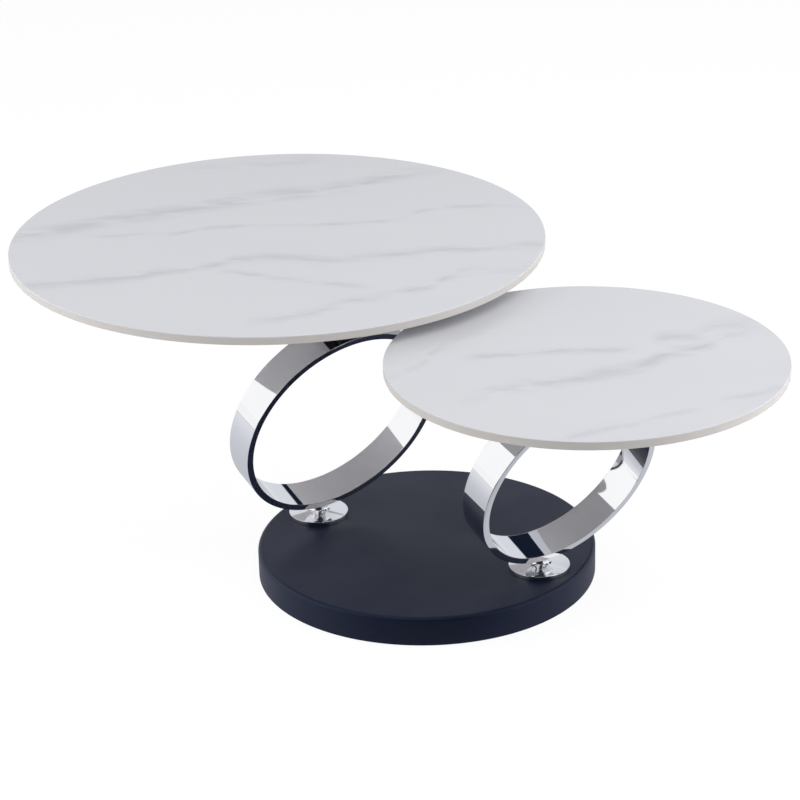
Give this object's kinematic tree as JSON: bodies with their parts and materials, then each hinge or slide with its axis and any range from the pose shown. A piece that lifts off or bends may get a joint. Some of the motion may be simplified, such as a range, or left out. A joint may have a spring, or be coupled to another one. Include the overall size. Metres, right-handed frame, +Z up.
{
  "type": "swivel coffee table",
  "caption": "Low table with two round veined stone tops on leaning chrome hoops that swivel on a heavy round black base.",
  "frame": {"origin": "centre of the base's underside, on the floor", "axes": "+Z up; the two pivots lie on the X axis, the large top's at -X and the small top's at +X"},
  "size_m": [1.268, 0.8211, 0.4088],
  "materials": {
    "black_paint": "satin blue-black powder coat",
    "cast_iron": "rough casting",
    "sheet_steel": "matt black sheet steel",
    "foam_pad": "matt foam rubber",
    "turned_steel": "turned steel",
    "acetal": "machined acetal",
    "chrome_plate": "polished chrome plate",
    "black_steel": "matt black powder coat",
    "veined_stone": "polished white stone with grey veins",
    "brass": "machined brass",
    "zinc_steel": "zinc-plated steel"
  },
  "bodies": {
    "base": {"ballast_disc": "cast_iron", "ballast_nuts": "zinc_steel", "ballast_studs": "zinc_steel", "base_shell": "black_paint", "bottom_plate": "sheet_steel", "bottom_plate_screws": "zinc_steel", "floor_pad": "foam_pad", "large_lower_bushing": "acetal", "large_pivot_housing": "turned_steel", "large_slide_washer": "acetal", "large_upper_bushing": "acetal", "pivot_nuts": "zinc_steel", "pivot_studs": "zinc_steel", "plate_spacers": "zinc_steel", "small_lower_bushing": "acetal", "small_pivot_housing": "turned_steel", "small_slide_washer": "acetal", "small_upper_bushing": "acetal"},
    "large_unit": {"large_flange_cap": "chrome_plate", "large_lower_saddle": "chrome_plate", "large_plate_screws": "zinc_steel", "large_ring": "chrome_plate", "large_spindle": "zinc_steel", "large_spindle_nut": "zinc_steel", "large_support_plate": "black_steel", "large_thrust_washer": "zinc_steel", "large_top": "veined_stone", "large_top_inserts": "brass", "large_upper_saddle": "black_steel"},
    "small_unit": {"small_flange_cap": "chrome_plate", "small_lower_saddle": "chrome_plate", "small_plate_screws": "zinc_steel", "small_ring": "chrome_plate", "small_spindle": "zinc_steel", "small_spindle_nut": "zinc_steel", "small_support_plate": "black_steel", "small_thrust_washer": "zinc_steel", "small_top": "veined_stone", "small_top_inserts": "brass", "small_upper_saddle": "black_steel"}
  },
  "joints": [
    {"name": "large_swivel", "type": "hinge", "parent": "base", "child": "large_unit", "pos_m": [-0.185, 0, 0.043], "axis": [0, 0, 1], "continuous": true},
    {"name": "small_swivel", "type": "hinge", "parent": "base", "child": "small_unit", "pos_m": [0.185, 0, 0.043], "axis": [0, 0, 1], "range_deg": [-50, 60]}
  ]
}
